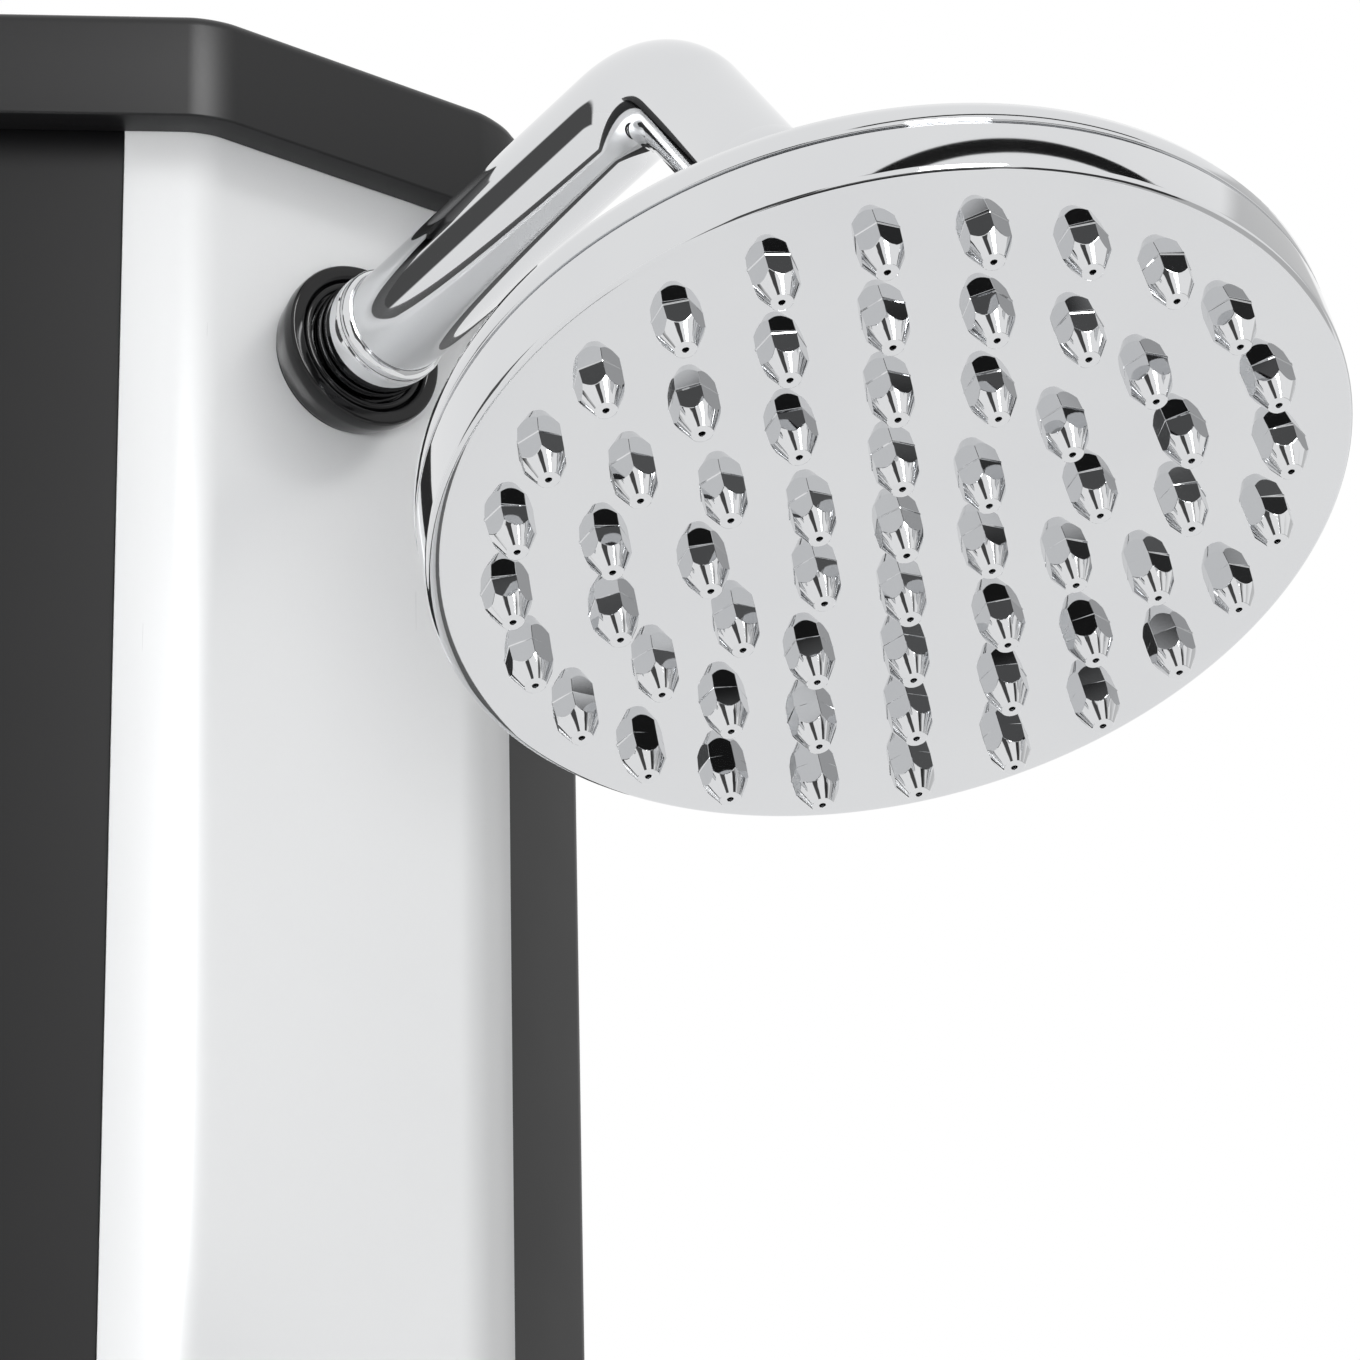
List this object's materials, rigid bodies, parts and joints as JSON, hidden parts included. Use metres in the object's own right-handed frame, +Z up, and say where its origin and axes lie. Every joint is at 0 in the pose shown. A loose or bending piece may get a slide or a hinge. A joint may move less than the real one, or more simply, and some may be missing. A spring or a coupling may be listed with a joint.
{
  "type": "solar shower",
  "caption": "Free-standing solar shower: black faceted tank column with folded aluminium front, bent chrome arm, round tilting head, lever mixer and foot tap.",
  "frame": {"origin": "on the floor, at the centre of the foot's four anchor holes, under the middle of the column", "axes": "+Z up along the column, -Y towards the arm and the aluminium front, +X to the right of a person who faces the column's back"},
  "size_m": [0.24, 0.4088, 2.17],
  "materials": {
    "black_tank": "semi-gloss black plastic",
    "black_cap": "satin black plastic",
    "black_base": "black powder coat",
    "aluminium": "satin anodised",
    "black_bush": "gloss black plastic",
    "chrome": "polished chrome plate",
    "brass": "turned brass",
    "steel": "stainless steel",
    "rubber": "black rubber",
    "white_plastic": "natural white plastic",
    "black_fittings": "black plastic"
  },
  "bodies": {
    "column": {"tank_shell": "black_tank", "tank_bottom": "black_tank", "tank_top": "black_tank", "top_cap": "black_cap", "base_foot": "black_base", "aluminium_front": "aluminium", "arm_bush": "black_bush", "arm_lock_ring": "black_bush", "arm_collar": "chrome", "arm_tube": "chrome", "ball_stud": "chrome", "mixer_plate": "chrome", "mixer_neck": "chrome", "foot_flange": "chrome", "foot_body": "chrome", "foot_spout": "chrome", "mixer_body": "brass", "arm_elbow": "brass", "arm_backnut": "brass", "foot_tee": "brass", "cold_tee": "brass", "inlet_body": "brass", "inlet_backnut": "brass", "base_screws": "steel", "arm_gasket": "rubber", "mixer_gasket": "rubber", "foot_gasket": "rubber", "inlet_gasket": "rubber", "drain_gasket": "rubber", "mixer_cartridge": "white_plastic", "cold_pipe": "white_plastic", "hot_pipe": "white_plastic", "riser_pipe": "white_plastic", "hose_plug": "black_fittings", "drain_plug": "black_fittings"},
    "ball_socket": {"ball_seat": "white_plastic"},
    "head": {"swivel_nut": "chrome", "flow_washer": "white_plastic", "head_back": "chrome", "head_gasket": "rubber", "spray_face": "chrome"},
    "mixer_shaft": {"mixer_spindle": "brass", "mixer_pin": "steel"},
    "mixer_lever": {"mixer_handle": "chrome", "lever_rod": "chrome", "lever_tip": "black_fittings"},
    "foot_valve": {"foot_spindle": "brass", "foot_knob": "chrome"}
  },
  "joints": [
    {"name": "head_tilt", "type": "hinge", "parent": "column", "child": "ball_socket", "pos_m": [0, -0.20879, 2.06395], "axis": [1, 0, 0], "range_deg": [-45, 5]},
    {"name": "head_spin", "type": "hinge", "parent": "ball_socket", "child": "head", "pos_m": [0, -0.20879, 2.06395], "axis": [0, 0.2924, 0.9563], "continuous": true},
    {"name": "mixer_turn", "type": "hinge", "parent": "column", "child": "mixer_shaft", "pos_m": [0, -0.0647, 1.05], "axis": [0, -1, 0], "range_deg": [-45, 45]},
    {"name": "mixer_lift", "type": "hinge", "parent": "mixer_shaft", "child": "mixer_lever", "pos_m": [0, -0.0947, 1.05], "axis": [-1, 0, 0], "range_deg": [0, 20]},
    {"name": "foot_turn", "type": "hinge", "parent": "column", "child": "foot_valve", "pos_m": [0, -0.0647, 0.32], "axis": [0, -1, 0], "range_deg": [0, 90]}
  ]
}
